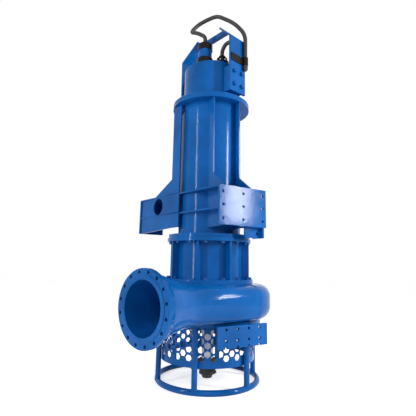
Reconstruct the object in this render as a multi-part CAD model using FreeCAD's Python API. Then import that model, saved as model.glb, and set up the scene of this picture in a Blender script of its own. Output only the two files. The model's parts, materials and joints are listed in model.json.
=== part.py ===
import FreeCAD, Part
import math
import os

# Submersible slurry pump: a vertical motor over an oil chamber, a spiral casing with a side
# discharge, and a suction strainer with an agitator, standing on a tubular base ring.
# Millimetres. +Z runs up the shaft, the origin is under the base ring on the shaft line, and
# the two bolted mounting plates face -Y.
os.makedirs("parts", exist_ok=True)
V = FreeCAD.Vector

# ---- base stand
RING_R = 468.0
PIPE_R = 25.0
LEG_COUNT = 6
LEG_FIRST_ANGLE = 44.5

# ---- strainer and suction cover
STRAINER_R = 440.0
STRAINER_WALL = 6.0
STRAINER_BOTTOM_Z = 205.0
RIM_HEIGHT = 46.0
RIM_WALL = 8.0
HOLE_ACROSS = 50.0
HOLE_COLUMNS = 50
HOLE_ROW_PITCH = 70.0
HOLE_ROWS = 4
COVER_R = 505.0
COVER_THICKNESS = 40.0
COVER_BOTTOM_Z = 540.0
INLET_R = 185.0
BELL_DEPTH = 62.0
BELL_WALL = 18.0
SPIGOT_HEIGHT = 14.0
COVER_BOLT_COUNT = 18

# ---- volute casing, laid out in a frame turned to the discharge direction
DISCHARGE_ANGLE = 196.7
VOLUTE_BOTTOM_Z = COVER_BOTTOM_Z + COVER_THICKNESS
VOLUTE_HEIGHT = 310.0
VOLUTE_WALL = 26.0
VOLUTE_EDGE_R = 112.0
SEAT_CLEARANCE = 3.0
THROAT_R = 622.0
SPIRAL_SHRINK = 0.327
VOLUTE_OPENING_R = 350.0
SEAL_OPENING_R = 135.0
DISCHARGE_REACH = 1082.0
DISCHARGE_OFFSET = 310.0
DISCHARGE_Z = 750.0

# ---- discharge flange, DN400 with 16 holes
FLANGE_R = 282.5
FLANGE_THICKNESS = 42.0
FLANGE_TAPER = 55.0
FLANGE_NECK_R = 248.0
FLANGE_HOLE_DEPTH = 44.0
FLANGE_BORE_R = 200.0
FLANGE_PCD_R = 257.5
FLANGE_HOLE_R = 13.0
FLANGE_HOLE_COUNT = 16
RAISED_FACE_R = 236.0
RAISED_FACE = 4.0

# ---- oil chamber between pump and motor
CHAMBER_R = 330.0
CHAMBER_WALL = 22.0
CHAMBER_LOW_FLANGE_R = 435.0
CHAMBER_LOW_FLANGE = 40.0
CHAMBER_TOP_FLANGE_R = 416.0
CHAMBER_TOP_FLANGE = 34.0
CHAMBER_HEIGHT = 422.0
CHAMBER_RIB_R = 402.0
CHAMBER_RIB_WIDTH = 20.0
CHAMBER_RIB_COUNT = 8
CHAMBER_RIB_FIRST_ANGLE = 42.5
CHAMBER_FLOOR = 30.0
FLANGE_BOLT_COUNT = 16

# ---- motor
BASE_FLANGE_R = 406.0
BASE_FLANGE = 36.0
BARREL_R = 314.0
BARREL_WALL = 22.0
BARREL_HEIGHT = 1327.0
TOP_FLANGE_R = 404.0
TOP_FLANGE = 56.0
STATOR_WALL = 100.0
STATOR_LENGTH = 820.0
STATOR_START = 210.0
AIR_GAP = 2.5

# ---- shaft line
SHAFT_R = 55.0
SHAFT_LOW_Z = 75.0
RUNNING_CLEARANCE = 0.05
BEARING_R = 115.0
LOWER_BEARING_HEIGHT = 66.0
UPPER_BEARING_HEIGHT = 46.0
IMPELLER_R = 300.0
IMPELLER_SHROUD = 16.0
IMPELLER_VANES = 4
VANE_THICKNESS = 18.0
IMPELLER_GAP = 7.0
HUB_R = 88.0
SEAL_R = 96.0
SEAL_HEIGHT = 34.0
AGITATOR_LOW_Z = 22.0
AGITATOR_TOP_Z = 190.0
AGITATOR_HUB_R = 76.0
AGITATOR_BLADE_R = 150.0
AGITATOR_BLADES = 3

# ---- mounting bracket round the foot of the motor
FRONT_Y = -566.0
PLATE = 20.0
FRONT_WIDTH = 522.0
FRONT_BOTTOM_Z = 1404.0
FRONT_HEIGHT = 351.0
FRONT_HOLE_X = 221.0
FRONT_HOLE_Z = 118.0
PLATE_HOLE_R = 12.0
REAR_Y = 700.0
REAR_HALF_SPAN = 475.0
REAR_WIDTH = 280.0
REAR_DROP = 20.0
MID_PLATE_Z = 1545.0
DECK = 16.0
DECK_CLEARANCE = 14.0
WEB = 16.0
WEB_LEFT_X = -183.0
WEB_RIGHT_X = 97.0
SIDE_BAR_X = 383.0
SIDE_BAR_FRONT_Y = -10.0
SIDE_BAR_REAR_Y = 118.0
RIB_EDGE_R = 392.0
WEB_HOLE_R = 88.0
FOOT_DEPTH = 94.0
FOOT_LEFT_X = 62.0

# ---- lower mounting plate
LOWER_Y = -563.0
LOWER_WIDTH = 520.0
LOWER_BOTTOM_Z = 391.0
LOWER_HEIGHT = 177.0
LOWER_HOLE_X = 117.0
LOWER_HOLE_TOP = 28.0
LOWER_HOLE_ROWS = (0.0, 88.0, 141.0)
LOWER_HOLE_COLUMNS = 4

# ---- junction chamber, glands, cables and lifting bail
CAP_R = 292.0
CAP_WALL = 14.0
CAP_HEIGHT = 372.0
LID = 26.0
POWER_GLAND = (192.0, 69.0)
CONTROL_GLAND = (56.0, 192.0)
POWER_GLAND_R = 84.0
CONTROL_GLAND_R = 72.0
POWER_CABLE_R = 21.0
CONTROL_CABLE_R = 21.0
BAIL_ANGLE = 281.0
BAIL_SPAN = 387.0
BAIL_THICKNESS = 20.0
BAIL_WIDTH = 222.0
BAIL_FOOT_GAP = 44.0
BAIL_LEG_HEIGHT = 603.0
BAIL_SHOULDER = 205.0
BAIL_NECK_WIDTH = 120.0
BAIL_BAR = 48.0
BAIL_BOLT_PITCH = 108.0
BAIL_BOLT_RISE = 140.0
BAIL_BOLT_LOW = 78.0
BAIL_LUG_WIDTH = 180.0
BAIL_LUG_HEIGHT = 270.0
BAIL_LUG_GAP = 12.0
CLAMP_WIDTH = 96.0
CLAMP_HEIGHT = 84.0
CLAMP_PLATE = 8.0
CLAMP_RISE = 365.0
CABLE_TAIL = 75.0
CABLE_FIT = 0.6
CABLE_LINE = -92.0

# ---- levels worked out from the sizes above
COVER_TOP_Z = COVER_BOTTOM_Z + COVER_THICKNESS
VOLUTE_MID_Z = VOLUTE_BOTTOM_Z + VOLUTE_HEIGHT / 2
VOLUTE_TOP_Z = VOLUTE_BOTTOM_Z + VOLUTE_HEIGHT
CHAMBER_TOP_Z = VOLUTE_TOP_Z + CHAMBER_HEIGHT
BARREL_BOTTOM_Z = CHAMBER_TOP_Z + BASE_FLANGE
BARREL_TOP_Z = BARREL_BOTTOM_Z + BARREL_HEIGHT
CAP_BOTTOM_Z = BARREL_TOP_Z + TOP_FLANGE
LID_BOTTOM_Z = CAP_BOTTOM_Z + CAP_HEIGHT
LID_TOP_Z = LID_BOTTOM_Z + LID
FRONT_TOP_Z = FRONT_BOTTOM_Z + FRONT_HEIGHT
BAIL_FOOT_Z = CAP_BOTTOM_Z + BAIL_FOOT_GAP
BAIL_BEND_Z = BAIL_FOOT_Z + BAIL_LEG_HEIGHT
BAIL_NECK_Z = BAIL_BEND_Z + BAIL_SHOULDER
BAIL_NECK = BAIL_SPAN - BAIL_SHOULDER
CLAMP_Z = BAIL_FOOT_Z + CLAMP_RISE
CABLE_END_Z = CLAMP_Z - CABLE_TAIL
CABLE_OUT = BAIL_SPAN + POWER_CABLE_R + CABLE_FIT
DECK_Z = FRONT_TOP_Z - DECK
FRONT_BACK_Y = FRONT_Y + PLATE
LOWER_BACK_Y = LOWER_Y + PLATE


def polar(radius, degrees, z=0.0):
    a = math.radians(degrees)
    return V(radius * math.cos(a), radius * math.sin(a), z)


def cylinder(radius, z0, z1, x=0.0, y=0.0):
    return Part.makeCylinder(radius, z1 - z0, V(x, y, z0))


def tube(outer, inner, z0, z1):
    return cylinder(outer, z0, z1).cut(cylinder(inner, z0 - 1, z1 + 1))


def box(x0, x1, y0, y1, z0, z1):
    return Part.makeBox(x1 - x0, y1 - y0, z1 - z0, V(x0, y0, z0))


def turned(shape, degrees):
    copy = shape.copy()
    copy.rotate(V(0, 0, 0), V(0, 0, 1), degrees)
    return copy


def to_bail(shape):
    """Turn a shape drawn with the bail spanning Y to the bail's real direction."""
    return turned(shape, BAIL_ANGLE - 90.0)


def bail_spot(spot):
    """A place laid out in the discharge frame, as seen in the bail's own frame."""
    a = math.radians(DISCHARGE_ANGLE - BAIL_ANGLE + 90.0)
    x, y = spot
    return x * math.cos(a) - y * math.sin(a), x * math.sin(a) + y * math.cos(a)


def to_discharge(shape):
    """Turn a shape drawn with the discharge along +X to the real discharge direction."""
    return turned(shape, DISCHARGE_ANGLE)


def fuse(shapes):
    first, rest = shapes[0], shapes[1:]
    return (first.fuse(rest) if rest else first).removeSplitter()


def revolve(points):
    """Solid of revolution about Z from (radius, z) corners."""
    wire = Part.makePolygon([V(r, 0, z) for r, z in points + points[:1]])
    return Part.Face(wire).revolve(V(0, 0, 0), V(0, 0, 1), 360)


def prism(points, z0, z1):
    """Upright prism from (x, y) corners."""
    wire = Part.makePolygon([V(x, y, z0) for x, y in points + points[:1]])
    return Part.Face(wire).extrude(V(0, 0, z1 - z0))


def hexagon_prism(across, height, base, axis):
    """Hexagonal prism standing on base and pointing along axis."""
    radius = across / math.sqrt(3)
    corners = [polar(radius, 60 * k) for k in range(7)]
    shape = Part.Face(Part.makePolygon(corners)).extrude(V(0, 0, height))
    shape.Placement = FreeCAD.Placement(base, FreeCAD.Rotation(V(0, 0, 1), axis))
    return shape


def hex_bolt(base, axis, across, head, washer=4.0):
    """Visible end of a bolt: a washer and a hexagon head seated on base."""
    disc = Part.makeCylinder(across * 0.62, washer, base, axis)
    return fuse([disc, hexagon_prism(across, head, base + axis * washer, axis)])


def bolt_ring(count, radius, z, axis, across, head, first=0.0):
    step = 360.0 / count
    bolts = [hex_bolt(polar(radius, first + step * k, z), axis, across, head) for k in range(count)]
    return Part.makeCompound(bolts)


def save(name, shape):
    if not shape.isValid():
        print("not valid:", name)
    shape.exportStep("parts/" + name + ".step")
    print(f"{name:28s} solids {len(shape.Solids):3d} volume {shape.Volume / 1e6:9.2f} l")


# ---------------------------------------------------------------- stand
def ring_solid():
    return Part.makeTorus(RING_R, PIPE_R, V(0, 0, PIPE_R), V(0, 0, 1))


def base_ring():
    return ring_solid()


def stand_legs():
    ring = ring_solid()
    legs = []
    for k in range(LEG_COUNT):
        foot = polar(RING_R, LEG_FIRST_ANGLE + 360.0 / LEG_COUNT * k)
        leg = cylinder(PIPE_R, PIPE_R, COVER_BOTTOM_Z, foot.x, foot.y).cut(ring)
        legs.append(max(leg.Solids, key=lambda s: s.Volume))
    return Part.makeCompound(legs)


# ---------------------------------------------------------------- strainer
def strainer_screen():
    """Drum of perforated plate: staggered columns of six-sided holes over a plain rim."""
    shell = tube(STRAINER_R, STRAINER_R - STRAINER_WALL, STRAINER_BOTTOM_Z + RIM_HEIGHT, COVER_BOTTOM_Z)
    first_row = STRAINER_BOTTOM_Z + RIM_HEIGHT + HOLE_ACROSS * 0.62
    cutters = []
    for column in range(HOLE_COLUMNS):
        angle = 360.0 / HOLE_COLUMNS * column
        shift = HOLE_ROW_PITCH / 2 if column % 2 else 0.0
        rows = HOLE_ROWS - (column % 2)
        for row in range(rows):
            z = first_row + shift + HOLE_ROW_PITCH * row
            start = polar(STRAINER_R - 3 * STRAINER_WALL, angle, z)
            cutters.append(hexagon_prism(HOLE_ACROSS, 6 * STRAINER_WALL, start, polar(1, angle)))
    return shell.cut(Part.makeCompound(cutters))


def strainer_rim():
    """Rolled flat bar that closes the foot of the screen."""
    z0, z1 = STRAINER_BOTTOM_Z, STRAINER_BOTTOM_Z + RIM_HEIGHT
    return tube(STRAINER_R, STRAINER_R - RIM_WALL, z0, z1)


def suction_cover():
    """Wear cover under the casing, with a spigot, an inlet and a flared mouth."""
    low = COVER_BOTTOM_Z
    inner = INLET_R
    spigot = VOLUTE_OPENING_R - 1.0
    profile = [
        (inner, COVER_TOP_Z + SPIGOT_HEIGHT), (spigot, COVER_TOP_Z + SPIGOT_HEIGHT),
        (spigot, COVER_TOP_Z), (COVER_R, COVER_TOP_Z), (COVER_R, low),
        (inner + BELL_WALL + 30, low), (inner + BELL_WALL + 12, low - BELL_DEPTH * 0.5),
        (inner + BELL_WALL + 34, low - BELL_DEPTH), (inner + 34, low - BELL_DEPTH),
        (inner, low - BELL_DEPTH * 0.35),
    ]
    return revolve(profile)


# ---------------------------------------------------------------- volute
def spiral_radius(turn):
    """Outer radius of the casing at a turn in degrees, upstream of the throat at 90."""
    return THROAT_R * math.exp(-SPIRAL_SHRINK * (turn - 90.0) / 270.0)


def half_section(turn, inset):
    """Upright section of the spiral from a core radius out to the wall, rounded outside."""
    outer = spiral_radius(turn) - inset
    core = HUB_R
    low = VOLUTE_BOTTOM_Z + inset
    high = VOLUTE_TOP_Z - inset
    edge = VOLUTE_EDGE_R - inset
    corner = edge * (1 - math.sqrt(0.5))
    pts = [V(r, 0, z) for r, z in (
        (core, low), (outer - edge, low), (outer - corner, low + corner), (outer, low + edge),
        (outer, high - edge), (outer - corner, high - corner), (outer - edge, high), (core, high))]
    edges = [
        Part.LineSegment(pts[0], pts[1]).toShape(),
        Part.Arc(pts[1], pts[2], pts[3]).toShape(),
        Part.LineSegment(pts[3], pts[4]).toShape(),
        Part.Arc(pts[4], pts[5], pts[6]).toShape(),
        Part.LineSegment(pts[6], pts[7]).toShape(),
        Part.LineSegment(pts[7], pts[0]).toShape(),
    ]
    return turned(Part.Wire(edges), turn)


def oval(x, centre_y, centre_z, half_width, half_height, squareness):
    """Closed smooth section across the discharge passage, from round to boxy."""
    count = 28
    pts = []
    for k in range(count):
        a = 2 * math.pi * k / count
        c, s = math.cos(a), math.sin(a)
        y = math.copysign(abs(c) ** (2 / squareness), c) * half_width
        z = math.copysign(abs(s) ** (2 / squareness), s) * half_height
        pts.append(V(x, centre_y + y, centre_z + z))
    curve = Part.BSplineCurve()
    curve.interpolate(pts, PeriodicFlag=True)
    return Part.Wire([curve.toShape()])


def passage(inset, extra=0.0):
    """Discharge passage from the throat to the back of the flange."""
    half = VOLUTE_HEIGHT / 2
    back = DISCHARGE_REACH - FLANGE_THICKNESS - FLANGE_TAPER
    rise = DISCHARGE_Z - VOLUTE_MID_Z
    sections = [
        (-extra, 0.0, THROAT_R - 210.0, 210.0, half - 1.0, 3.6),
        (230.0, 0.2, DISCHARGE_OFFSET + 70.0, 196.0, half, 3.2),
        (450.0, 0.6, DISCHARGE_OFFSET + 28.0, 178.0, half + 9.0, 2.5),
        (650.0, 1.0, DISCHARGE_OFFSET, 180.0, 180.0, 2.0),
        (840.0, 1.0, DISCHARGE_OFFSET, 208.0, 208.0, 2.0),
        (920.0, 1.0, DISCHARGE_OFFSET, 230.0, 230.0, 2.0),
        (back + (1.0 if inset else 0.0), 1.0, DISCHARGE_OFFSET, FLANGE_NECK_R, FLANGE_NECK_R, 2.0),
    ]
    last = len(sections) - 1
    wires = []
    for i, (x, lift, y, w, h, square) in enumerate(sections):
        if inset and i >= last - 2:
            bore = (FLANGE_BORE_R - 14.0, FLANGE_BORE_R - 4.0, FLANGE_BORE_R)[i - last + 2]
            w, h = bore, bore
        elif inset:
            w, h = w - inset, h - inset
        wires.append(oval(x, y, VOLUTE_MID_Z + rise * lift, w, h, square))
    return Part.makeLoft(wires, True, False)


def casing_body(inset):
    """Spiral chamber, the fill behind the tongue and the discharge passage as one solid."""
    turns = [90.0 + 31.0 * k for k in range(11)]
    spiral = Part.makeLoft([half_section(t, inset) for t in turns], True, False)
    low, high = VOLUTE_BOTTOM_Z + inset, VOLUTE_TOP_Z - inset
    tongue = spiral_radius(turns[-1]) - inset
    fill = cylinder(tongue - VOLUTE_EDGE_R + inset, low, high)
    return fuse([fill, spiral, passage(inset)])


def volute_casing():
    body = casing_body(0.0).cut(casing_body(VOLUTE_WALL))
    body = body.cut(cylinder(VOLUTE_OPENING_R, VOLUTE_BOTTOM_Z - 1, VOLUTE_MID_Z))
    body = body.cut(cylinder(SEAL_OPENING_R, VOLUTE_MID_Z, VOLUTE_TOP_Z + 1))
    seat = CHAMBER_LOW_FLANGE_R + SEAT_CLEARANCE
    body = body.cut(cylinder(seat, VOLUTE_TOP_Z, VOLUTE_TOP_Z + 3 * CHAMBER_LOW_FLANGE))
    return to_discharge(max(body.Solids, key=lambda s: s.Volume))


def discharge_flange():
    """Thick flange with a raised face, a tapered back and blind stud holes."""
    rim, face = FLANGE_THICKNESS, RAISED_FACE
    length = rim + FLANGE_TAPER
    ring = revolve([
        (FLANGE_BORE_R, 0), (FLANGE_NECK_R, 0), (FLANGE_R - 5, length - rim), (FLANGE_R, length - rim + 5),
        (FLANGE_R, length - face), (RAISED_FACE_R, length - face), (RAISED_FACE_R, length),
        (FLANGE_BORE_R, length)])
    step = 360.0 / FLANGE_HOLE_COUNT
    for k in range(FLANGE_HOLE_COUNT):
        spot = polar(FLANGE_PCD_R, step * (k + 0.5))
        ring = ring.cut(cylinder(FLANGE_HOLE_R, length - FLANGE_HOLE_DEPTH, length + 5, spot.x, spot.y))
    ring.rotate(V(0, 0, 0), V(0, 1, 0), 90)
    ring.translate(V(DISCHARGE_REACH - length, DISCHARGE_OFFSET, DISCHARGE_Z))
    return to_discharge(ring)


# ---------------------------------------------------------------- oil chamber
def oil_chamber():
    z0, z1 = VOLUTE_TOP_Z, CHAMBER_TOP_Z
    low, top = z0 + CHAMBER_LOW_FLANGE, z1 - CHAMBER_TOP_FLANGE
    wall = CHAMBER_R - CHAMBER_WALL
    bore = SEAL_R
    profile = [
        (bore, z0), (CHAMBER_LOW_FLANGE_R, z0), (CHAMBER_LOW_FLANGE_R, low), (CHAMBER_R, low),
        (CHAMBER_R, top), (CHAMBER_TOP_FLANGE_R, top), (CHAMBER_TOP_FLANGE_R, z1), (bore, z1),
        (bore, z1 - CHAMBER_FLOOR), (wall, z1 - CHAMBER_FLOOR), (wall, z0 + CHAMBER_FLOOR),
        (bore, z0 + CHAMBER_FLOOR),
    ]
    body = revolve(profile)
    half = CHAMBER_RIB_WIDTH / 2
    rib = box(CHAMBER_R - CHAMBER_WALL / 2, CHAMBER_RIB_R, -half, half, low, top)
    step = 360.0 / CHAMBER_RIB_COUNT
    ribs = [turned(rib, CHAMBER_RIB_FIRST_ANGLE + step * k) for k in range(CHAMBER_RIB_COUNT)]
    return fuse([body] + ribs)


def chamber_bolt_first():
    """Bolts sit each side of a rib, never on one."""
    return CHAMBER_RIB_FIRST_ANGLE + 180.0 / FLANGE_BOLT_COUNT


def lower_flange_bolts():
    radius = (CHAMBER_RIB_R + CHAMBER_LOW_FLANGE_R) / 2 - 15
    z = VOLUTE_TOP_Z + CHAMBER_LOW_FLANGE
    return bolt_ring(FLANGE_BOLT_COUNT, radius, z, V(0, 0, 1), 34.0, 15.0, chamber_bolt_first())


def upper_flange_bolts():
    radius = CHAMBER_TOP_FLANGE_R - 30
    z = CHAMBER_TOP_Z - CHAMBER_TOP_FLANGE
    return bolt_ring(FLANGE_BOLT_COUNT, radius, z, V(0, 0, -1), 34.0, 15.0, chamber_bolt_first())


def suction_cover_bolts():
    radius = (STRAINER_R + COVER_R) / 2
    first = LEG_FIRST_ANGLE + 180.0 / COVER_BOLT_COUNT
    return bolt_ring(COVER_BOLT_COUNT, radius + 4, COVER_BOTTOM_Z, V(0, 0, -1), 30.0, 12.0, first)


# ---------------------------------------------------------------- motor
def motor_base():
    """Lower end shield of the motor, with the seat of the lower bearing."""
    z0, z1 = CHAMBER_TOP_Z, BARREL_BOTTOM_Z
    seat_top = z1 + LOWER_BEARING_HEIGHT - BASE_FLANGE / 2
    spigot = BARREL_R - BARREL_WALL
    profile = [
        (BEARING_R, z0 + BASE_FLANGE / 2), (BEARING_R, seat_top), (BEARING_R + 30, seat_top),
        (BEARING_R + 40, z1 + 12), (spigot, z1 + 12), (spigot, z1), (BASE_FLANGE_R, z1),
        (BASE_FLANGE_R, z0), (SHAFT_R + 12, z0), (SHAFT_R + 12, z0 + BASE_FLANGE / 2),
    ]
    return revolve(profile)


def motor_barrel():
    return tube(BARREL_R, BARREL_R - BARREL_WALL, BARREL_BOTTOM_Z, BARREL_TOP_Z)


def motor_top_flange():
    """Upper end shield: a thick rim with the seat of the upper bearing."""
    z0, z1 = BARREL_TOP_Z, CAP_BOTTOM_Z
    spigot = BARREL_R - BARREL_WALL
    chamfer = 5.0
    profile = [
        (BEARING_R, z0 - 22), (BEARING_R, z1 - 16), (SHAFT_R + 12, z1 - 16), (SHAFT_R + 12, z1),
        (TOP_FLANGE_R - chamfer, z1), (TOP_FLANGE_R, z1 - chamfer), (TOP_FLANGE_R, z0),
        (spigot, z0), (spigot, z0 - 12), (BEARING_R + 30, z0 - 12), (BEARING_R + 26, z0 - 22),
    ]
    return revolve(profile)


def stator_core():
    z0 = BARREL_BOTTOM_Z + STATOR_START
    outer = BARREL_R - BARREL_WALL
    return tube(outer, outer - STATOR_WALL, z0, z0 + STATOR_LENGTH)


def stator_windings():
    """End turns that stand out of both ends of the core."""
    z0 = BARREL_BOTTOM_Z + STATOR_START
    outer = BARREL_R - BARREL_WALL - 18
    inner = outer - STATOR_WALL + 36
    low = revolve([(inner, z0), (inner + 8, z0 - 92), (outer - 8, z0 - 92), (outer, z0)])
    z1 = z0 + STATOR_LENGTH
    high = revolve([(inner, z1), (outer, z1), (outer - 8, z1 + 92), (inner + 8, z1 + 92)])
    return Part.makeCompound([low, high])


def lower_bearing():
    z0 = CHAMBER_TOP_Z + BASE_FLANGE / 2
    return tube(BEARING_R, SHAFT_R + RUNNING_CLEARANCE, z0, z0 + LOWER_BEARING_HEIGHT)


def upper_bearing():
    z1 = CAP_BOTTOM_Z - 16
    return tube(BEARING_R, SHAFT_R + RUNNING_CLEARANCE, z1 - UPPER_BEARING_HEIGHT, z1)


# ---------------------------------------------------------------- shaft line
def drive_shaft():
    shaft = cylinder(SHAFT_R, SHAFT_LOW_Z, CAP_BOTTOM_Z - 8)
    return shaft.makeChamfer(4.0, shaft.Edges[:1])


def rotor_core():
    z0 = BARREL_BOTTOM_Z + STATOR_START
    radius = BARREL_R - BARREL_WALL - STATOR_WALL - AIR_GAP
    return tube(radius, SHAFT_R, z0, z0 + STATOR_LENGTH)


def impeller():
    """Closed impeller with backward-swept vanes between two shrouds."""
    floor = COVER_TOP_Z + SPIGOT_HEIGHT + IMPELLER_GAP
    roof = VOLUTE_TOP_Z - VOLUTE_WALL - IMPELLER_GAP
    eye = INLET_R - 4
    back = revolve([(SHAFT_R, floor + 110), (HUB_R, floor + 110), (HUB_R + 14, roof - 60),
                    (HUB_R + 60, roof - IMPELLER_SHROUD), (IMPELLER_R, roof - IMPELLER_SHROUD),
                    (IMPELLER_R, roof), (SHAFT_R, roof)])
    front = revolve([(eye, floor), (IMPELLER_R, floor), (IMPELLER_R, floor + IMPELLER_SHROUD),
                     (eye + 30, floor + IMPELLER_SHROUD), (eye, floor + IMPELLER_SHROUD + 12)])
    start, sweep = HUB_R + 36, 95.0
    count = 7
    outer, inner = [], []
    for k in range(count):
        t = k / (count - 1)
        radius = start + (IMPELLER_R - start) * t
        spread = math.degrees(VANE_THICKNESS / 2 / radius)
        outer.append(polar(radius, sweep * t ** 0.8 + spread))
        inner.append(polar(radius, sweep * t ** 0.8 - spread))
    side_a, side_b = Part.BSplineCurve(), Part.BSplineCurve()
    side_a.interpolate(outer)
    side_b.interpolate(inner)
    outline = Part.Wire([
        side_a.toShape(), Part.LineSegment(outer[-1], inner[-1]).toShape(),
        side_b.toShape(), Part.LineSegment(inner[0], outer[0]).toShape()])
    vane = Part.Face(outline).extrude(V(0, 0, roof - floor - 6))
    vane.translate(V(0, 0, floor + 3))
    step = 360.0 / IMPELLER_VANES
    vanes = [turned(vane, step * k) for k in range(IMPELLER_VANES)]
    core = cylinder(SHAFT_R, floor - 50, roof + 50)
    return fuse([back, front] + vanes).cut(core)


def impeller_nut():
    floor = COVER_TOP_Z + SPIGOT_HEIGHT + IMPELLER_GAP
    nut = hexagon_prism(150.0, 62.0, V(0, 0, floor + 110 - 62), V(0, 0, 1))
    return nut.cut(cylinder(SHAFT_R, floor, floor + 200))


def agitator():
    """Stirring head on the foot of the shaft: a blunt hub with three pitched blades."""
    hub = revolve([(0, AGITATOR_LOW_Z), (46, AGITATOR_LOW_Z), (54, AGITATOR_LOW_Z + 22),
                   (AGITATOR_HUB_R, AGITATOR_LOW_Z + 34), (AGITATOR_HUB_R, AGITATOR_TOP_Z),
                   (0, AGITATOR_TOP_Z)])
    height = AGITATOR_TOP_Z - AGITATOR_LOW_Z - 70
    blades = []
    for k in range(AGITATOR_BLADES):
        blade = Part.makeBox(AGITATOR_BLADE_R - SHAFT_R, 22, height, V(SHAFT_R + 4, -11, 0))
        blade.rotate(V(0, 0, height / 2), V(1, 0, 0), 28)
        blade.translate(V(0, 0, AGITATOR_TOP_Z - height - 6))
        blades.append(turned(blade, 20 + 360.0 / AGITATOR_BLADES * k))
    body = fuse([hub] + blades)
    return body.cut(cylinder(SHAFT_R, SHAFT_LOW_Z, AGITATOR_TOP_Z + 40))


def seal_seat():
    """Stationary half of the mechanical seal, in the floor of the oil chamber."""
    z0 = VOLUTE_TOP_Z
    return tube(SEAL_R, SHAFT_R + 6, z0, z0 + CHAMBER_FLOOR)


def seal_ring():
    """Turning half of the mechanical seal, clamped to the shaft above the seat."""
    z0 = VOLUTE_TOP_Z + CHAMBER_FLOOR + 0.4
    return tube(SEAL_R - 12, SHAFT_R, z0, z0 + SEAL_HEIGHT)


def upper_seal():
    """Lip seal in the roof of the oil chamber."""
    z1 = CHAMBER_TOP_Z
    return tube(SEAL_R, SHAFT_R + RUNNING_CLEARANCE, z1 - CHAMBER_FLOOR, z1)


# ---------------------------------------------------------------- bracket
def deck_outline(inset=0.0):
    half_front = FRONT_WIDTH / 2 - inset
    half_rear = REAR_HALF_SPAN - inset
    notch = REAR_HALF_SPAN - REAR_WIDTH
    rear = REAR_Y - PLATE
    return [(-half_front, FRONT_BACK_Y), (half_front, FRONT_BACK_Y), (half_rear, rear),
            (notch, rear), (notch, BARREL_R + 150), (-notch, BARREL_R + 150),
            (-notch, rear), (-half_rear, rear)]


def deck(z0, inset=0.0):
    plate = prism(deck_outline(inset), z0, z0 + DECK)
    plate = plate.cut(cylinder(BARREL_R, z0 - 1, z0 + DECK + 1))
    return plate


def web_profiles():
    """Every upright plate of the bracket as (start, end, levels) lines in plan."""
    edge_left = -math.sqrt(RIB_EDGE_R ** 2 - WEB_LEFT_X ** 2)
    edge_right = -math.sqrt(RIB_EDGE_R ** 2 - WEB_RIGHT_X ** 2)
    return edge_left, edge_right


def front_web(x, edge_y):
    """Web in a plane square to the front plate: a rib on the barrel that flares to the plate."""
    flare = FRONT_BACK_Y - edge_y
    inner = -math.sqrt(BARREL_R ** 2 - x ** 2) + 2
    outline = [
        (FRONT_BACK_Y, FRONT_BOTTOM_Z), (FRONT_BACK_Y, FRONT_TOP_Z - DECK),
        (FRONT_BACK_Y, FRONT_TOP_Z + 8), (edge_y, FRONT_TOP_Z + 8 - flare * 0.75),
        (edge_y, BARREL_TOP_Z), (inner, BARREL_TOP_Z), (inner, FRONT_BOTTOM_Z),
    ]
    wire = Part.makePolygon([V(x - WEB / 2, y, z) for y, z in outline + outline[:1]])
    web = Part.Face(wire).extrude(V(WEB, 0, 0))
    return web.cut(cylinder(BARREL_R, FRONT_BOTTOM_Z - 5, BARREL_TOP_Z + 5))


def deck_slots(web):
    """A web is cut where the two decks pass through it."""
    for z in (DECK_Z, MID_PLATE_Z):
        web = web.cut(box(-900, 900, -900, 900, z, z + DECK))
    return web


def bracket_front_webs():
    left, right = web_profiles()
    webs = [front_web(WEB_LEFT_X, left), front_web(WEB_RIGHT_X, right)]
    return Part.makeCompound([s for web in webs for s in deck_slots(web).Solids])


def side_web(side):
    """Flat bar beside the barrel that flares to a rear arm, with a lightening hole."""
    rear = REAR_Y - PLATE
    slope = (REAR_HALF_SPAN - SIDE_BAR_X - 14) / (rear - SIDE_BAR_REAR_Y)
    top, low = FRONT_TOP_Z, FRONT_BOTTOM_Z - REAR_DROP
    flare_end_y = SIDE_BAR_REAR_Y + 300
    outline = [
        (SIDE_BAR_FRONT_Y, low + 30), (SIDE_BAR_FRONT_Y, BARREL_TOP_Z),
        (SIDE_BAR_REAR_Y, BARREL_TOP_Z), (SIDE_BAR_REAR_Y, top + 150), (flare_end_y, top),
        (rear, top), (rear, low), (SIDE_BAR_REAR_Y, low + 30),
    ]
    wire = Part.makePolygon([V(0, y, z) for y, z in outline + outline[:1]])
    web = Part.Face(wire).extrude(V(WEB, 0, 0))
    hole_z = (DECK_Z + MID_PLATE_Z + DECK) / 2
    bore = Part.makeCylinder(WEB_HOLE_R * 0.98, 3 * WEB, V(-WEB, flare_end_y - 60, hole_z), V(1, 0, 0))
    web = web.cut(bore)
    turn = math.degrees(math.atan(slope))
    web.rotate(V(0, SIDE_BAR_REAR_Y, 0), V(0, 0, 1), -turn)
    web.translate(V(SIDE_BAR_X - WEB, 0, 0))
    web = web.cut(box(-900, 900, rear, rear + 100, 0, 4000))
    web = deck_slots(web)
    return web if side > 0 else web.mirror(V(0, 0, 0), V(1, 0, 0))


def bracket_side_webs():
    solids = [s for side in (-1, 1) for s in side_web(side).Solids]
    return Part.makeCompound(solids)


def bracket_top_deck():
    return deck(DECK_Z)


def bracket_mid_deck():
    return deck(MID_PLATE_Z, 4.0)


def drilled_plate(width, y, z0, height, holes):
    plate = box(-width / 2, width / 2, y, y + PLATE, z0, z0 + height)
    for x, z in holes:
        plate = plate.cut(Part.makeCylinder(PLATE_HOLE_R, 3 * PLATE, V(x, y - PLATE, z), V(0, 1, 0)))
    return plate


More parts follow.
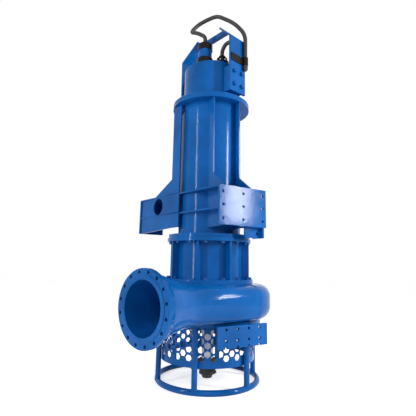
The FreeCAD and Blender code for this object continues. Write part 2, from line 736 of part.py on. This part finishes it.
def front_mounting_plate():
    middle = FRONT_BOTTOM_Z + FRONT_HEIGHT / 2
    holes = [(FRONT_HOLE_X * i, middle + FRONT_HOLE_Z * j) for i in (-1, 0, 1) for j in (-1, 0, 1)]
    return drilled_plate(FRONT_WIDTH, FRONT_Y, FRONT_BOTTOM_Z, FRONT_HEIGHT, holes)


def rear_end_plates():
    x1, x0 = REAR_HALF_SPAN, REAR_HALF_SPAN - REAR_WIDTH
    plate = box(x0, x1, REAR_Y - PLATE, REAR_Y, FRONT_BOTTOM_Z - REAR_DROP, FRONT_TOP_Z)
    return Part.makeCompound([plate, plate.mirror(V(0, 0, 0), V(1, 0, 0))])


def bracket_foot():
    """Box foot that hangs under the right half of the front plate."""
    x1 = FRONT_WIDTH / 2 - 8
    low, high = FRONT_BOTTOM_Z - FOOT_DEPTH, FRONT_BOTTOM_Z
    front = FRONT_BACK_Y
    cross_y = front + 42.0
    cross = box(FOOT_LEFT_X, x1 - WEB, cross_y, cross_y + WEB, low, high)
    cheek = box(x1 - WEB, x1, front, front + 150, low, MID_PLATE_Z)
    roof = box(WEB_RIGHT_X + WEB / 2, x1 - WEB, front, front + 150, high, high + WEB)
    hole = Part.makeCylinder(13, 4 * WEB, V(x1 - WEB - 34, cross_y - WEB, (low + high) / 2 - 6), V(0, 1, 0))
    return fuse([cross, cheek, roof]).cut(hole)


# ---------------------------------------------------------------- lower plate
def lower_mounting_plate():
    top = LOWER_BOTTOM_Z + LOWER_HEIGHT - LOWER_HOLE_TOP
    span = (LOWER_HOLE_COLUMNS - 1) / 2
    columns = [LOWER_HOLE_X * (i - span) for i in range(LOWER_HOLE_COLUMNS)]
    holes = [(x, top - drop) for x in columns for drop in LOWER_HOLE_ROWS]
    return drilled_plate(LOWER_WIDTH, LOWER_Y, LOWER_BOTTOM_Z, LOWER_HEIGHT, holes)


def lower_plate_gussets():
    """Three brackets that carry the lower plate from the rim of the suction cover."""
    gussets = []
    for x in (-LOWER_HOLE_X, 0.0, LOWER_HOLE_X):
        reach = -math.sqrt(COVER_R ** 2 - x ** 2)
        low, high = LOWER_BOTTOM_Z + 12, COVER_BOTTOM_Z + COVER_THICKNESS * 0.6
        arm = box(x - WEB / 2, x + WEB / 2, LOWER_BACK_Y, reach + 12, COVER_BOTTOM_Z, high)
        outline = [(LOWER_BACK_Y, low), (LOWER_BACK_Y + 26, low), (reach + 12, COVER_BOTTOM_Z),
                   (LOWER_BACK_Y, COVER_BOTTOM_Z)]
        wire = Part.makePolygon([V(x - WEB / 2, y, z) for y, z in outline + outline[:1]])
        gusset = fuse([arm, Part.Face(wire).extrude(V(WEB, 0, 0))])
        gussets.append(gusset.cut(cylinder(COVER_R, COVER_BOTTOM_Z, COVER_TOP_Z)))
    return Part.makeCompound(gussets)


# ---------------------------------------------------------------- top of the motor
def junction_chamber():
    shell = tube(CAP_R, CAP_R - CAP_WALL, CAP_BOTTOM_Z, LID_BOTTOM_Z)
    foot = revolve([(CAP_R, CAP_BOTTOM_Z), (CAP_R + 16, CAP_BOTTOM_Z), (CAP_R, CAP_BOTTOM_Z + 16)])
    return fuse([shell, foot])


def chamber_lid():
    edge = 9.0
    profile = [(0, LID_BOTTOM_Z), (CAP_R, LID_BOTTOM_Z), (CAP_R, LID_TOP_Z - edge),
               (CAP_R - edge, LID_TOP_Z), (0, LID_TOP_Z)]
    return to_discharge(revolve(profile))


def gland_stack(spot, radius, levels):
    """Stacked rings of a gland as (share of radius, start, end) above the lid."""
    rings = [cylinder(radius * share, LID_TOP_Z + a, LID_TOP_Z + b, spot[0], spot[1])
             for share, a, b in levels]
    return to_discharge(fuse(rings))


def power_gland_body():
    return gland_stack(POWER_GLAND, POWER_GLAND_R, [(0.86, 52, 150), (0.5, 226, 240)])


def power_gland_rings():
    low = gland_stack(POWER_GLAND, POWER_GLAND_R, [(1.0, 0, 52)])
    high = gland_stack(POWER_GLAND, POWER_GLAND_R, [(0.94, 150, 212), (0.8, 212, 226)])
    return Part.makeCompound([low, high])


def control_gland():
    return gland_stack(CONTROL_GLAND, CONTROL_GLAND_R, [(1.0, 0, 34), (0.78, 34, 78), (0.52, 78, 104)])


def gland_bolts():
    bolts = []
    count = 8
    seat = LID_TOP_Z + 34
    for k in range(count):
        p = polar(CONTROL_GLAND_R * 0.9, 22.5 + 360.0 / count * k)
        base = V(CONTROL_GLAND[0] + p.x, CONTROL_GLAND[1] + p.y, seat)
        bolts.append(hexagon_prism(13.0, 16.0, base, V(0, 0, 1)))
    return to_discharge(Part.makeCompound(bolts))


def cable_path(points):
    """Straight runs joined by tangent arcs, each as large as its two runs allow."""
    edges = []
    last = points[0]
    for before, here, after in zip(points, points[1:], points[2:]):
        run_in, run_out = here - before, after - here
        turn = run_in.getAngle(run_out)
        half = math.tan(turn / 2)
        radius = 0.45 * min(run_in.Length, run_out.Length) / half
        cut = radius * half
        a = here - V(run_in).normalize() * cut
        b = here + V(run_out).normalize() * cut
        inward = (V(run_out).normalize() - V(run_in).normalize()).normalize()
        middle = here + inward * (radius / math.cos(turn / 2) - radius)
        edges.append(Part.LineSegment(last, a).toShape())
        edges.append(Part.Arc(a, middle, b).toShape())
        last = b
        print(f"  arc radius {radius:6.0f} mm")
    edges.append(Part.LineSegment(last, points[-1]).toShape())
    return Part.Wire(edges)


def cable(points, radius):
    path = cable_path(points)
    start = points[0]
    along = V(points[1] - points[0]).normalize()
    section = Part.Wire([Part.makeCircle(radius, start, along)])
    solid = path.makePipeShell([section], True, False, 2)
    expected = math.pi * radius ** 2 * path.Length
    print(f"  length {path.Length:6.0f} mm, volume {solid.Volume / expected:5.3f} of expected")
    return to_bail(solid)


def power_cable():
    """From its gland in an arch over the bail, then down the outside of one leg into the clamp."""
    x, y = bail_spot(POWER_GLAND)
    start = LID_TOP_Z + 240
    top = BAIL_NECK_Z
    return cable([
        V(x, y, start), V(x, y, start + 85), V(x + 30, y - 100, start + 165),
        V(x + 36, y - 205, top + 5), V(x - 40, y - 160, top + 115), V(95, 15, top + 155),
        V(25, 105, top + 195), V(-50, 290, top + 50), V(CABLE_LINE + 4, CABLE_OUT + 6, BAIL_BEND_Z + 75),
        V(CABLE_LINE, CABLE_OUT, BAIL_BEND_Z - 110), V(CABLE_LINE, CABLE_OUT, CABLE_END_Z),
    ], POWER_CABLE_R)


def control_cable():
    """From its gland in a short bow to the inner face of the same leg."""
    x, y = bail_spot(CONTROL_GLAND)
    start = LID_TOP_Z + 104
    inner = BAIL_SPAN - BAIL_THICKNESS
    lead = cable([
        V(x, y, start), V(x, y, start + 70), V(x - 10, y + 36, start + 135),
        V(x - 26, y + 92, start + 150), V(x - 36, inner, start + 128),
    ], CONTROL_CABLE_R)
    return lead.cut(lifting_bail()).Solids[0]


# ---------------------------------------------------------------- lifting bail
def bail_leg(side):
    """Leg of the bail: one flat bar, bent inward at the shoulder and tapered to its neck."""
    t = BAIL_THICKNESS
    pull = t * math.tan(math.radians(22.5))
    y, z = BAIL_SPAN, BAIL_BEND_Z
    ny, nz = BAIL_NECK, BAIL_NECK_Z
    slant = t / math.sqrt(2)
    outline = [(y, BAIL_FOOT_Z), (y, z), (ny, nz), (ny - slant, nz - slant), (y - t, z - pull),
               (y - t, BAIL_FOOT_Z)]
    half = BAIL_WIDTH / 2
    wire = Part.makePolygon([V(-half, side * a, b) for a, b in outline + outline[:1]])
    leg = Part.Face(wire).extrude(V(BAIL_WIDTH, 0, 0))
    neck = BAIL_NECK_WIDTH / 2
    for sign in (-1, 1):
        corner = [(sign * half, z), (sign * (half + 5), nz + 5), (sign * neck, nz + 5), (sign * neck, nz)]
        cut = Part.makePolygon([V(a, 0, b) for a, b in corner + corner[:1]])
        leg = leg.cut(Part.Face(cut).extrude(V(0, side * (BAIL_SPAN + 5), 0)))
    for x, hole_z in bail_bolt_spots():
        start = V(x, side * (BAIL_SPAN - 2 * t), hole_z)
        leg = leg.cut(Part.makeCylinder(13, 3 * t, start, V(0, side, 0)))
    return leg


def lifting_bail():
    """Two legs of the lifting bail."""
    return to_bail(Part.makeCompound([bail_leg(-1), bail_leg(1)]))


def lifting_bar():
    """Square bar across the top, which the hook takes hold of; its ends are cut to the shoulders."""
    half = BAIL_BAR / 2
    slant = BAIL_THICKNESS / math.sqrt(2)
    top = BAIL_NECK_Z - 2 * slant
    top_y, low_y = BAIL_NECK, BAIL_NECK + BAIL_BAR
    outline = [(-top_y, top), (top_y, top), (low_y, top - BAIL_BAR), (-low_y, top - BAIL_BAR)]
    wire = Part.makePolygon([V(-half, a, b) for a, b in outline + outline[:1]])
    return to_bail(Part.Face(wire).extrude(V(BAIL_BAR, 0, 0)))


def bail_bolt_spots():
    low = BAIL_FOOT_Z + BAIL_BOLT_LOW
    half = BAIL_BOLT_PITCH / 2
    return [(sign * half, low + rise) for sign in (-1, 1) for rise in (0.0, BAIL_BOLT_RISE)]


def bail_lugs():
    """Blocks welded to the junction chamber that the bail legs are bolted to."""
    half = BAIL_LUG_WIDTH / 2
    outer = BAIL_SPAN - BAIL_THICKNESS
    low = BAIL_FOOT_Z + BAIL_LUG_GAP
    high = low + BAIL_LUG_HEIGHT
    lugs = []
    for side in (-1, 1):
        y0, y1 = sorted((side * (CAP_R - 60), side * outer))
        lug = box(-half, half, y0, y1, low, high)
        hollow0, hollow1 = sorted((side * (CAP_R - 80), side * (outer - BAIL_THICKNESS)))
        lug = lug.cut(box(-half + WEB, half - WEB, hollow0, hollow1, low + WEB, high - WEB))
        lugs.append(lug.cut(cylinder(CAP_R, CAP_BOTTOM_Z, LID_TOP_Z)))
    return to_bail(Part.makeCompound([s for lug in lugs for s in lug.Solids]))


def bail_bolts():
    bolts = []
    for side in (-1, 1):
        for x, z in bail_bolt_spots():
            bolts.append(hex_bolt(V(x, side * BAIL_SPAN, z), V(0, side, 0), 36.0, 18.0, 5.0))
    return to_bail(Part.makeCompound(bolts))


def cable_clamp():
    """Strap with a half-round hump that holds the power cable to the bail leg."""
    x, plate, face = CABLE_LINE, CLAMP_PLATE, BAIL_SPAN
    inner = POWER_CABLE_R + CABLE_FIT
    z0, z1 = CLAMP_Z - CLAMP_HEIGHT / 2, CLAMP_Z + CLAMP_HEIGHT / 2
    bar = box(x, x + 2 * CLAMP_WIDTH, face, face + plate, z0, z1)
    hump = cylinder(inner + plate, z0, z1, x, CABLE_OUT)
    hump = hump.common(box(x - 100, x + 100, face, face + 200, z0, z1))
    walls = box(x - inner - plate, x + inner + plate, face, CABLE_OUT, z0, z1)
    slot = cylinder(inner, z0 - 1, z1 + 1, x, CABLE_OUT)
    slot = slot.fuse(box(x - inner, x + inner, face - 1, CABLE_OUT, z0 - 1, z1 + 1))
    return to_bail(fuse([bar, hump, walls]).cut(slot))


def cable_end_cap():
    """Moulded cap that seals the end of the power cable below its clamp."""
    x, radius = CABLE_LINE, POWER_CABLE_R
    outer = cylinder(radius + 5, CABLE_END_Z - 14, CABLE_END_Z + 28, x, CABLE_OUT)
    outer = outer.cut(box(x - 50, x + 50, BAIL_SPAN - 50, BAIL_SPAN, CABLE_END_Z - 40, CABLE_END_Z + 40))
    tip = Part.makeCone(radius - 4, radius, 12, V(x, CABLE_OUT, CABLE_END_Z - 26))
    bore = cylinder(radius + 0.2, CABLE_END_Z, CABLE_END_Z + 40, x, CABLE_OUT)
    return to_bail(fuse([outer, tip]).cut(bore))


NODES = [
    base_ring, stand_legs, strainer_screen, strainer_rim, suction_cover, suction_cover_bolts,
    volute_casing, discharge_flange, oil_chamber, lower_flange_bolts, upper_flange_bolts,
    motor_base, motor_barrel, motor_top_flange, stator_core, stator_windings, lower_bearing,
    upper_bearing, drive_shaft, rotor_core, impeller, impeller_nut, agitator, seal_seat, seal_ring,
    upper_seal, bracket_front_webs, bracket_side_webs, bracket_top_deck, bracket_mid_deck,
    front_mounting_plate, rear_end_plates, bracket_foot, lower_mounting_plate, lower_plate_gussets,
    junction_chamber, chamber_lid, power_gland_body, power_gland_rings, control_gland, gland_bolts,
    power_cable, control_cable, lifting_bail, lifting_bar, bail_lugs, bail_bolts, cable_clamp, cable_end_cap,
]

for make in NODES:
    save(make.__name__, make())
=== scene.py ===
import json
import math
import random
import bmesh
import bpy
from mathutils import Matrix, Vector


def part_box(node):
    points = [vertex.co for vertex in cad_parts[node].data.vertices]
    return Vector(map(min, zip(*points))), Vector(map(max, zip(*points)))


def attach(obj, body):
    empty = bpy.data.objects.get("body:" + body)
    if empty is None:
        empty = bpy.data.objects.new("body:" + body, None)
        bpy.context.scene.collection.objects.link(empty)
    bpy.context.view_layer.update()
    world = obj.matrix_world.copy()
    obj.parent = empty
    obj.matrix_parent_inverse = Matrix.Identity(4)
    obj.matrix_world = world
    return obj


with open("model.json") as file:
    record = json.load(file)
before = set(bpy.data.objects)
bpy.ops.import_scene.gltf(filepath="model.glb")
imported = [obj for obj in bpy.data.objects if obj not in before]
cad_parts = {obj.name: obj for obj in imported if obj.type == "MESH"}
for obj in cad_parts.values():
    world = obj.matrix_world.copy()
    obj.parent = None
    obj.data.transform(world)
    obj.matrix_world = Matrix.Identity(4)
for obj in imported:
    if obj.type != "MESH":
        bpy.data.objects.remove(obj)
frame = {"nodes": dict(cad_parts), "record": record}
bpy.context.scene.view_settings.view_transform = "Standard"
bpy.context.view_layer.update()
NODES = frame["nodes"]


# ------------------------------------------------------------------ camera
CAMERA_PLACE = (-1.9993, -3.1315, 1.0625)
CAMERA_TURNS = (-32.556, -0.65, 10.673, 1.004)
CAMERA_LENS = 31.66
CAMERA_SHIFT = (0.00565, -0.0294)


def make_camera():
    """Low camera in front of the mounting plates, a little to their left, looking up the motor."""
    azimuth, yaw, pitch, roll = (math.radians(v) for v in CAMERA_TURNS)
    up = Vector((0, 0, 1))
    forward = Vector((-math.sin(azimuth), math.cos(azimuth), 0))
    right = Vector((math.cos(azimuth), math.sin(azimuth), 0))
    forward, right = (forward * math.cos(yaw) + right * math.sin(yaw),
                      right * math.cos(yaw) - forward * math.sin(yaw))
    forward, up = (forward * math.cos(pitch) + up * math.sin(pitch),
                   up * math.cos(pitch) - forward * math.sin(pitch))
    right, up = (right * math.cos(roll) + up * math.sin(roll),
                 up * math.cos(roll) - right * math.sin(roll))
    data = bpy.data.cameras.new("camera")
    data.sensor_width = 36.0
    data.lens = CAMERA_LENS
    data.shift_x, data.shift_y = CAMERA_SHIFT
    camera = bpy.data.objects.new("camera", data)
    bpy.context.scene.collection.objects.link(camera)
    axes = Matrix((right, up, -forward)).transposed().to_4x4()
    camera.matrix_world = Matrix.Translation(CAMERA_PLACE) @ axes
    bpy.context.scene.camera = camera


# ------------------------------------------------------------------ materials
class Graph:
    """A material's node tree, with short calls for the nodes used here."""

    def __init__(self, name):
        self.material = bpy.data.materials.new(name)
        self.material.use_nodes = True
        self.nodes = self.material.node_tree.nodes
        self.links = self.material.node_tree.links
        self.shader = self.nodes["Principled BSDF"]
        self.where = self.nodes.new("ShaderNodeTexCoord").outputs["Object"]

    def link(self, source, target):
        self.links.new(source, target)

    def noise(self, scale, detail=4.0, rough=0.55, stretch=None, distortion=0.0):
        node = self.nodes.new("ShaderNodeTexNoise")
        node.inputs["Scale"].default_value = scale
        node.inputs["Detail"].default_value = detail
        node.inputs["Roughness"].default_value = rough
        node.inputs["Distortion"].default_value = distortion
        if stretch:
            mapping = self.nodes.new("ShaderNodeMapping")
            mapping.inputs["Scale"].default_value = stretch
            self.link(self.where, mapping.inputs["Vector"])
            self.link(mapping.outputs["Vector"], node.inputs["Vector"])
        else:
            self.link(self.where, node.inputs["Vector"])
        return node.outputs["Fac"]

    def span(self, value, low, high, out_low=0.0, out_high=1.0):
        node = self.nodes.new("ShaderNodeMapRange")
        node.inputs["From Min"].default_value = low
        node.inputs["From Max"].default_value = high
        node.inputs["To Min"].default_value = out_low
        node.inputs["To Max"].default_value = out_high
        self.link(value, node.inputs["Value"])
        return node.outputs["Result"]

    def maths(self, kind, a, b):
        node = self.nodes.new("ShaderNodeMath")
        node.operation = kind
        for socket, value in zip(node.inputs, (a, b)):
            if isinstance(value, (int, float)):
                socket.default_value = value
            else:
                self.link(value, socket)
        return node.outputs["Value"]

    def mix(self, factor, a, b):
        node = self.nodes.new("ShaderNodeMix")
        node.data_type = "RGBA"
        for name, value in (("A", a), ("B", b)):
            socket = [s for s in node.inputs if s.name == name and s.type == "RGBA"][0]
            if isinstance(value, tuple):
                socket.default_value = (*value, 1.0)
            else:
                self.link(value, socket)
        self.link(factor, node.inputs["Factor"])
        return [s for s in node.outputs if s.type == "RGBA"][0]

    def bump(self, height, strength, distance, below=None):
        node = self.nodes.new("ShaderNodeBump")
        node.inputs["Strength"].default_value = strength
        node.inputs["Distance"].default_value = distance
        self.link(height, node.inputs["Height"])
        if below:
            self.link(below, node.inputs["Normal"])
        return node.outputs["Normal"]

    def soft_edges(self, radius):
        node = self.nodes.new("ShaderNodeBevel")
        node.samples = 4
        node.inputs["Radius"].default_value = radius
        return node.outputs["Normal"]

    def finish(self, color=None, rough=None, normal=None, **constants):
        if color is not None:
            self.link(color, self.shader.inputs["Base Color"])
        if rough is not None:
            self.link(rough, self.shader.inputs["Roughness"])
        if normal is not None:
            self.link(normal, self.shader.inputs["Normal"])
        for name, value in constants.items():
            self.shader.inputs[name.replace("_", " ")].default_value = value
        return self.material


def paint(name, base, rough=0.2, cast=0.0, drips=True, edge=0.002):
    """Glossy enamel: slow colour drift and darker patches, partly random paint tone and partly painted
    reflection; orange peel, faint runs and a little dust.
    """
    g = Graph(name)
    # Colour drift and darker patches: partly the paint's own random tone, partly painted reflection
    # standing in for the dark patches that glossy reflections leave on the barrel.
    drift = g.span(g.noise(2.3, 5.0), 0.3, 0.7)
    mottle_and_painted_reflection = g.span(g.noise(9.0, 6.0, 0.6, distortion=0.4), 0.35, 0.75)
    drift_dark_and_painted_reflection = tuple(v * 0.6 for v in base)
    light = (base[0] + 0.006, base[1] * 1.16, base[2] * 1.1)
    color = g.mix(drift, drift_dark_and_painted_reflection, light)
    color = g.mix(g.maths("MULTIPLY", mottle_and_painted_reflection, 0.35), color, tuple(v * 0.82 for v in base))
    dust = g.span(g.noise(34.0, 8.0, 0.7), 0.62, 0.8, 0.0, 0.22)
    color = g.mix(dust, color, (0.05, 0.17, 0.38))
    roughness = g.span(g.noise(14.0, 5.0), 0.3, 0.72, rough * 0.75, rough * 1.6)
    normal = g.soft_edges(edge)
    if cast:
        normal = g.bump(g.noise(60.0, 5.0, 0.6), 0.5, cast, normal)
    normal = g.bump(g.noise(18.0, 3.0, 0.5), 0.3, 0.0010, normal)
    normal = g.bump(g.noise(160.0, 2.0, 0.5), 0.3, 0.0003, normal)
    if drips:
        streak = g.noise(22.0, 4.0, 0.6, stretch=(1.0, 1.0, 0.09))
        normal = g.bump(streak, 0.25, 0.0008, normal)
    return g.finish(color, roughness, normal, Specular_IOR_Level=0.11)


def metal(name, base, rough, grain=(1.0, 1.0, 12.0)):
    """Machined metal with fine grain lines."""
    g = Graph(name)
    drift = g.span(g.noise(7.0, 6.0), 0.3, 0.72)
    color = g.mix(drift, tuple(v * 0.78 for v in base), tuple(min(v * 1.15, 1.0) for v in base))
    lines = g.noise(60.0, 6.0, 0.6, stretch=grain)
    roughness = g.span(lines, 0.3, 0.7, rough * 0.75, rough * 1.3)
    normal = g.bump(lines, 0.4, 0.0002, g.soft_edges(0.0008))
    return g.finish(color, roughness, normal, Metallic=1.0)


def rough_iron(name, base, rough=0.55):
    """Bare cast iron with pits and a little rust."""
    g = Graph(name)
    drift = g.span(g.noise(11.0, 7.0, 0.65), 0.3, 0.72)
    color = g.mix(drift, tuple(v * 0.6 for v in base), tuple(v * 1.5 for v in base))
    rust = g.span(g.noise(26.0, 8.0, 0.7), 0.6, 0.76, 0.0, 0.35)
    color = g.mix(rust, color, (0.055, 0.032, 0.02))
    roughness = g.span(g.noise(30.0, 5.0), 0.3, 0.7, rough * 0.8, rough * 1.25)
    normal = g.bump(g.noise(55.0, 6.0, 0.65), 0.6, 0.0012, g.soft_edges(0.003))
    return g.finish(color, roughness, normal, Metallic=0.0)


def rubber(name, base=(0.014, 0.014, 0.016)):
    """Cable rubber with scuffs."""
    g = Graph(name)
    drift = g.span(g.noise(13.0, 6.0), 0.3, 0.72)
    color = g.mix(drift, tuple(v * 0.75 for v in base), tuple(v * 1.9 for v in base))
    scuff = g.span(g.noise(40.0, 8.0, 0.7), 0.62, 0.78, 0.0, 0.3)
    color = g.mix(scuff, color, (0.05, 0.05, 0.052))
    roughness = g.span(g.noise(24.0, 5.0), 0.3, 0.7, 0.34, 0.55)
    normal = g.bump(g.noise(220.0, 3.0), 0.3, 0.0003)
    return g.finish(color, roughness, normal)


BLUE = (0.001, 0.125, 0.46)
FASTENER_BLUE = tuple(v * 0.85 for v in BLUE)
GLAND_BLUE = (0.002, 0.12, 0.43)
BLACK = (0.010, 0.010, 0.012)
make_camera()
MATERIALS = {
    "blue_paint": paint("enamel_on_steel", BLUE, rough=0.10),
    "blue_cast_paint": paint("enamel_on_castings", BLUE, rough=0.10, cast=0.0006, drips=False,
                             edge=0.005),
    "painted_fastener": paint("enamel_on_fasteners", FASTENER_BLUE, rough=0.3, drips=False, edge=0.001),
    "gland_blue": paint("enamel_on_gland", GLAND_BLUE, rough=0.24, drips=False, edge=0.002),
    "black_housing": paint("black_enamel", BLACK, rough=0.28, drips=False, edge=0.002),
    "black_rubber": rubber("cable_rubber"),
    "bright_steel": metal("machined_steel", (0.46, 0.47, 0.49), 0.3),
    "black_iron": rough_iron("cast_black_iron", (0.016, 0.016, 0.018)),
    "wear_iron": rough_iron("cast_wear_iron", (0.09, 0.09, 0.095)),
    "lamination_steel": metal("laminated_steel", (0.24, 0.25, 0.27), 0.45, grain=(1.0, 1.0, 60.0)),
    "copper_winding": metal("varnished_copper", (0.45, 0.17, 0.06), 0.35),
}
for part in frame["record"]["subparts"]:
    body = NODES[part["node"]]
    for place in body.material_slots:
        place.material = MATERIALS[part["material_slot"]]


# ------------------------------------------------------------------ weld beads
BEAD_SIDES = 8
BEAD_PITCH = 0.0035
BEAD_RADIUS = 0.005
LEG_BEAD_RADIUS = 0.0035
RIPPLE_LENGTH = 0.009
RIPPLE_HEIGHT = 0.16
RIPPLE_CHANCE = 0.04
BARREL_RADIUS = 0.314
WEB_LINES = (("left", -0.183), ("right", 0.097))
WEB_SIDES = (("outer", -0.010), ("inner", 0.010))
WEB_BEAD_MARGIN = 0.02
LEG_COUNT = 6
LEG_FIRST_ANGLE = 44.5
LEG_STATIONS = 48
draw = random.Random(7)


def weld_bead(name, path, radius, closed=False):
    """A painted fillet weld: a tube with the overlapping ripples that the torch leaves."""
    path = [Vector(point) for point in path]
    spans = list(zip(path, path[1:] + path[:1] if closed else path[1:]))
    stations = []
    for start, end in spans:
        steps = max(1, int((end - start).length / BEAD_PITCH))
        stations += [start.lerp(end, step / steps) for step in range(steps)]
    if not closed:
        stations.append(path[-1])
    mesh = bmesh.new()
    rings = []
    travelled = 0.0
    count = len(stations)
    for index, here in enumerate(stations):
        before = stations[index - 1] if index or closed else here
        after = stations[(index + 1) % count] if index + 1 < count or closed else here
        along = (after - before).normalized()
        travelled += (here - before).length
        side = along.orthogonal().normalized()
        other = along.cross(side)
        wave = abs(math.sin(math.pi * travelled / RIPPLE_LENGTH))
        ripple = 1.0 + RIPPLE_HEIGHT * wave + draw.uniform(-RIPPLE_CHANCE, RIPPLE_CHANCE)
        turn = [2 * math.pi * k / BEAD_SIDES for k in range(BEAD_SIDES)]
        rings.append([mesh.verts.new(here + (side * math.cos(a) + other * math.sin(a)) * radius * ripple)
                      for a in turn])
    pairs = list(zip(rings, rings[1:] + rings[:1] if closed else rings[1:]))
    for low, high in pairs:
        shift = min(range(BEAD_SIDES), key=lambda k: (high[k].co - low[0].co).length)
        for k in range(BEAD_SIDES):
            mesh.faces.new((low[k], low[(k + 1) % BEAD_SIDES],
                            high[(k + 1 + shift) % BEAD_SIDES], high[(k + shift) % BEAD_SIDES]))
    if not closed:
        mesh.faces.new(rings[0][::-1])
        mesh.faces.new(rings[-1])
    mesh.normal_update()
    bmesh.ops.recalc_face_normals(mesh, faces=mesh.faces)
    for face in mesh.faces:
        face.smooth = True
    data = bpy.data.meshes.new(name)
    mesh.to_mesh(data)
    mesh.free()
    data.materials.append(MATERIALS["blue_paint"])
    bead = bpy.data.objects.new(name, data)
    bpy.context.scene.collection.objects.link(bead)
    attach(bead, "casing")


def circle(radius, z, steps=96):
    turns = [2 * math.pi * k / steps for k in range(steps)]
    return [(radius * math.cos(turn), radius * math.sin(turn), z) for turn in turns]


def weld_barrel():
    """Weld round the top of the barrel, under the motor's top flange."""
    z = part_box("motor_top_flange")[0][2] - 0.002
    weld_bead("weld_barrel_top", circle(BARREL_RADIUS, z), BEAD_RADIUS, closed=True)


def weld_webs():
    """Welds along both webs behind the front mounting plate."""
    low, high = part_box("front_mounting_plate")
    back = high[1] + 0.001
    bottom, top = low[2] + WEB_BEAD_MARGIN, high[2] - WEB_BEAD_MARGIN
    for label, web_x in WEB_LINES:
        for side, offset in WEB_SIDES:
            x = web_x + offset
            weld_bead("weld_web_%s_%s" % (label, side), [(x, back, bottom), (x, back, top)], BEAD_RADIUS)


def weld_chamber():
    """Weld at the foot of the junction chamber."""
    low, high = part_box("junction_chamber")
    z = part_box("motor_top_flange")[1][2] + 0.002
    weld_bead("weld_chamber_foot", circle((high[0] - low[0]) / 2, z), BEAD_RADIUS, closed=True)


def weld_legs():
    """Saddle-shaped welds where the legs meet the base ring."""
    low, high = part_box("base_ring")
    pipe_r = (high[2] - low[2]) / 2
    ring_r = (high[0] - low[0]) / 2 - pipe_r
    turns = [2 * math.pi * k / LEG_STATIONS for k in range(LEG_STATIONS)]
    for leg in range(LEG_COUNT):
        bearing = math.radians(LEG_FIRST_ANGLE + 360 / LEG_COUNT * leg)
        x, y = ring_r * math.cos(bearing), ring_r * math.sin(bearing)
        path = [(x + pipe_r * math.cos(bearing + turn), y + pipe_r * math.sin(bearing + turn),
                 pipe_r * (1 + abs(math.sin(turn)))) for turn in turns]
        weld_bead("weld_leg_%d" % (leg + 1), path, LEG_BEAD_RADIUS, closed=True)


weld_barrel()
weld_webs()
weld_chamber()
weld_legs()


# ------------------------------------------------------------------ studio
FLOOR_GLOW = 0.74
SKY_LIGHT = 0.27


def make_studio():
    """Pale floor and sky, which show white to the camera and in reflections, and three lamps."""
    mesh = bpy.data.meshes.new("floor")
    half = 30.0
    corners = [(-half, -half, 0), (half, -half, 0), (half, half, 0), (-half, half, 0)]
    mesh.from_pydata(corners, [], [(0, 1, 2, 3)])
    floor = bpy.data.objects.new("floor", mesh)
    bpy.context.scene.collection.objects.link(floor)
    g = Graph("pale_floor")
    tone = g.mix(g.span(g.noise(0.8, 3.0), 0.3, 0.7), (0.86, 0.86, 0.87), (0.9, 0.9, 0.905))
    g.finish(tone, None, None, Roughness=0.7)
    g.link(tone, g.shader.inputs["Emission Color"])
    path = g.nodes.new("ShaderNodeLightPath")
    mirrored = g.maths("MAXIMUM", path.outputs["Is Glossy Ray"], path.outputs["Is Transmission Ray"])
    seen = g.maths("MAXIMUM", path.outputs["Is Camera Ray"], mirrored)
    g.link(g.maths("MULTIPLY", seen, FLOOR_GLOW), g.shader.inputs["Emission Strength"])
    mesh.materials.append(g.material)

    world = bpy.data.worlds.new("studio")
    bpy.context.scene.world = world
    world.use_nodes = True
    nodes, links = world.node_tree.nodes, world.node_tree.links
    background = nodes["Background"]
    background.inputs["Color"].default_value = (1.0, 1.0, 1.0, 1.0)
    path = nodes.new("ShaderNodeLightPath")
    shown = nodes.new("ShaderNodeMath")
    shown.operation = "MAXIMUM"
    links.new(path.outputs["Is Camera Ray"], shown.inputs[0])
    links.new(path.outputs["Is Transmission Ray"], shown.inputs[1])
    mirrored = nodes.new("ShaderNodeMath")
    mirrored.operation = "MAXIMUM"
    links.new(shown.outputs[0], mirrored.inputs[0])
    links.new(path.outputs["Is Glossy Ray"], mirrored.inputs[1])
    level = nodes.new("ShaderNodeMapRange")
    level.inputs["To Min"].default_value = SKY_LIGHT
    level.inputs["To Max"].default_value = 1.0
    links.new(mirrored.outputs[0], level.inputs["Value"])
    links.new(level.outputs["Result"], background.inputs["Strength"])

    def lamp(name, place, aim, size, power, size_y=None):
        data = bpy.data.lights.new(name, "AREA")
        data.shape = "RECTANGLE"
        data.size, data.size_y = size, size_y or size
        data.energy = power
        lamp_object = bpy.data.objects.new(name, data)
        lamp_object.location = place
        facing = Vector(aim) - Vector(place)
        lamp_object.rotation_euler = facing.to_track_quat("-Z", "Y").to_euler()
        bpy.context.scene.collection.objects.link(lamp_object)

    lamp("key_right", (3.6, -5.4, 3.4), (0, 0, 1.6), 0.6, 330, 2.6)
    lamp("strip_left", (-5.2, -0.6, 2.6), (0, 0, 1.8), 0.3, 120, 4.0)
    lamp("fill_front", (-4.2, -6.2, 4.2), (0, 0, 1.4), 1.6, 70, 1.6)


make_studio()
